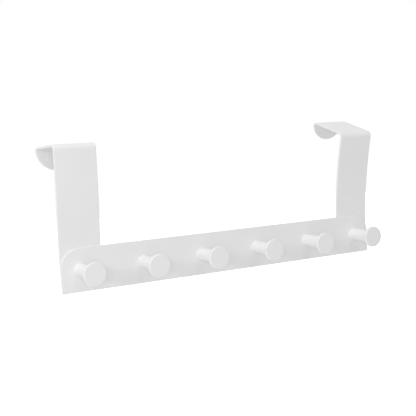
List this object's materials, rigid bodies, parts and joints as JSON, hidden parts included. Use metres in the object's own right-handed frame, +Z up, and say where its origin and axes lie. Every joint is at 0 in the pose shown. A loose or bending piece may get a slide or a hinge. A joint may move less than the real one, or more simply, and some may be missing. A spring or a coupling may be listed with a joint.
{
  "type": "over door hook rack",
  "caption": "White powder-coated steel coat rack for the top of a door: a flat rail with a row of disc-headed pegs, on two bent straps with round tongues.",
  "frame": {"origin": "middle of the door's top front edge, where the undersides of both hooks cross the door's front face", "axes": "+X along the rack to the right as seen from the room, +Y into the door from its front face, +Z up"},
  "size_m": [0.35, 0.0802, 0.1401],
  "materials": {
    "powder_coat": "satin white powder coat"
  },
  "bodies": {
    "root": {"rail": "powder_coat", "left_strap": "powder_coat", "right_strap": "powder_coat", "peg_1": "powder_coat", "peg_2": "powder_coat", "peg_3": "powder_coat", "peg_4": "powder_coat", "peg_5": "powder_coat", "peg_6": "powder_coat"}
  },
  "joints": []
}
